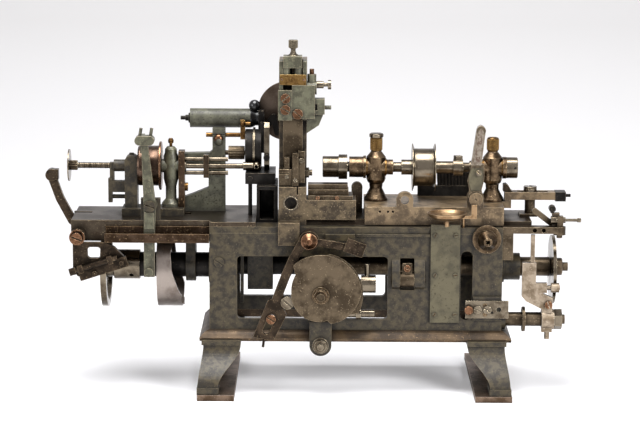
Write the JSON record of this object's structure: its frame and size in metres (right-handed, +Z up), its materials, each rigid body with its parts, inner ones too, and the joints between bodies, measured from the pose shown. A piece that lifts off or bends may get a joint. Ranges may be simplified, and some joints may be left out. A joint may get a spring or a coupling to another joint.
{
  "type": "screw making lathe",
  "caption": "Bench screw making lathe on cabriole legs: sliding headstock, camshaft with plate and disc cams, cam rocker, tool column and sliding threading headstock.",
  "frame": {"origin": "on the bench, under the middle of the machine", "axes": "+X along the bed from the headstock to the threading headstock, +Y from the front to the back, +Z up"},
  "size_m": [0.6632, 0.232, 0.433],
  "materials": {
    "green_paint": "worn grey-green paint",
    "cover_paint": "clean grey-green paint",
    "brown_steel": "bare steel with brown patina",
    "bright_steel": "polished steel",
    "dark_iron": "blackened iron",
    "brass": "satin",
    "copper_brown": "brown patinated steel",
    "bronze": "satin bronze"
  },
  "bodies": {
    "frame": {"foot_plates": "copper_brown", "legs": "green_paint", "plinth": "copper_brown", "front_wall": "green_paint", "rear_wall": "green_paint", "end_walls": "green_paint", "deck": "green_paint", "left_bed": "brown_steel", "right_bed": "brown_steel", "gutter_rail": "copper_brown", "cover_plate": "cover_paint", "camshaft_hanger": "green_paint", "cross_bracket": "green_paint", "bracket_studs": "bright_steel", "swarf_dish": "brown_steel", "rocker_pivot": "bronze", "shifter_bracket": "dark_iron", "guide_bracket": "green_paint", "guide_head": "dark_iron", "overhead_shaft": "green_paint", "chip_box": "dark_iron", "column": "green_paint", "column_head": "green_paint", "right_bracket": "brown_steel", "lower_shaft": "brown_steel"},
    "camshaft": {"camshaft_left": "dark_iron", "camshaft_right": "brown_steel", "camshaft_gear": "bright_steel", "drive_wheel": "bright_steel", "bell_cam": "brown_steel", "disc_cam": "bright_steel"},
    "cross_cam": {"cross_shaft": "brown_steel", "cross_gear": "bright_steel", "plate_cam": "brown_steel", "cam_nut": "bright_steel"},
    "rocker": {"rocker_arm": "brown_steel", "rocker_roller": "bright_steel"},
    "feed_lever": {"feed_lever": "green_paint", "feed_lever_slide": "dark_iron"},
    "headstock": {"headstock": "dark_iron", "feed_rod": "copper_brown"},
    "main_spindle": {"spindle": "bright_steel", "headstock_pulley": "dark_iron"},
    "belt_shifter": {"belt_shifter": "green_paint"},
    "guide_knob": {"guide_knob": "brown_steel"},
    "tool_slide": {"tool_slide": "brown_steel"},
    "slide_knob": {"slide_knob": "bright_steel"},
    "index_disc": {"index_disc": "copper_brown"},
    "cross_slide": {"cross_slide": "brown_steel"},
    "saddle": {"right_saddle": "green_paint", "thread_pillars": "green_paint", "oil_cups": "brass"},
    "shift_collar": {"quill_collar": "brass"},
    "thread_spindle": {"thread_spindle": "bright_steel", "thread_drum": "bright_steel"},
    "thread_lever": {"thread_lever": "green_paint"},
    "rock_shaft": {"wall_rock_shaft": "brown_steel"},
    "crank_socket": {"crank_socket": "brass"},
    "adjusting_screw": {"adjusting_screw": "bright_steel"},
    "right_rocker": {"right_rocker": "green_paint"}
  },
  "joints": [
    {"name": "camshaft_turn", "type": "hinge", "parent": "frame", "child": "camshaft", "pos_m": [0, 0, 0.147], "axis": [1, 0, 0], "continuous": true},
    {"name": "cross_cam_turn", "type": "hinge", "parent": "frame", "child": "cross_cam", "pos_m": [0.0095, 0, 0.129], "axis": [0, 1, 0], "continuous": true},
    {"name": "rocker_swing", "type": "hinge", "parent": "frame", "child": "rocker", "pos_m": [-0.005, -0.085, 0.194], "axis": [0, 1, 0], "range_deg": [0, 8]},
    {"name": "feed_lever_swing", "type": "hinge", "parent": "frame", "child": "feed_lever", "pos_m": [-0.289, 0, 0.1935], "axis": [0, 1, 0], "range_deg": [0, 7]},
    {"name": "headstock_feed", "type": "slide", "parent": "frame", "child": "headstock", "axis": [1, 0, 0], "range_m": [0, 0.008]},
    {"name": "main_spindle_turn", "type": "hinge", "parent": "headstock", "child": "main_spindle", "pos_m": [-0.2, 0, 0.272], "axis": [1, 0, 0], "continuous": true},
    {"name": "belt_shifter_swing", "type": "hinge", "parent": "frame", "child": "belt_shifter", "pos_m": [-0.2, -0.0635, 0.2325], "axis": [0, 1, 0], "range_deg": [-5, 5]},
    {"name": "guide_knob_turn", "type": "hinge", "parent": "frame", "child": "guide_knob", "pos_m": [-0.097, 0.02, 0.286], "axis": [1, 0, 0], "continuous": true},
    {"name": "tool_slide_lift", "type": "slide", "parent": "frame", "child": "tool_slide", "axis": [0, 0, 1], "range_m": [0, 0.008]},
    {"name": "slide_knob_turn", "type": "hinge", "parent": "frame", "child": "slide_knob", "pos_m": [-0.026, -0.027, 0.4], "axis": [0, 0, 1], "continuous": true},
    {"name": "index_disc_turn", "type": "hinge", "parent": "frame", "child": "index_disc", "pos_m": [-0.0338, 0.03, 0.3349], "axis": [0, 1, 0], "continuous": true},
    {"name": "cross_slide_move", "type": "slide", "parent": "frame", "child": "cross_slide", "axis": [1, 0, 0], "range_m": [0, 0.006]},
    {"name": "saddle_move", "type": "slide", "parent": "frame", "child": "saddle", "axis": [1, 0, 0], "range_m": [0, 0.01]},
    {"name": "thread_feed", "type": "slide", "parent": "saddle", "child": "shift_collar", "axis": [1, 0, 0], "range_m": [-0.009, 0]},
    {"name": "thread_spindle_turn", "type": "hinge", "parent": "shift_collar", "child": "thread_spindle", "pos_m": [0.13, 0, 0.272], "axis": [1, 0, 0], "continuous": true},
    {"name": "thread_lever_swing", "type": "hinge", "parent": "saddle", "child": "thread_lever", "pos_m": [0.1985, -0.0575, 0.2425], "axis": [0, 1, 0], "range_deg": [-15.7, 0.2]},
    {"name": "rock_shaft_swing", "type": "hinge", "parent": "frame", "child": "rock_shaft", "pos_m": [0.117, -0.061, 0.1416], "axis": [1, 0, 0], "range_deg": [-8, 8]},
    {"name": "crank_turn", "type": "hinge", "parent": "frame", "child": "crank_socket", "pos_m": [0.2125, -0.06, 0.1935], "axis": [0, 1, 0], "continuous": true},
    {"name": "adjusting_screw_turn", "type": "hinge", "parent": "frame", "child": "adjusting_screw", "pos_m": [0.3, -0.0525, 0.2155], "axis": [1, 0, 0], "continuous": true},
    {"name": "right_rocker_swing", "type": "hinge", "parent": "frame", "child": "right_rocker", "pos_m": [0.29, -0.05, 0.0905], "axis": [1, 0, 0], "range_deg": [0, 8]}
  ],
  "couplings": [
    {"joint": "cross_cam_turn", "follows": "camshaft_turn", "ratio": -1},
    {"joint": "thread_lever_swing", "follows": "thread_feed", "rad_per_m": 30.057}
  ]
}
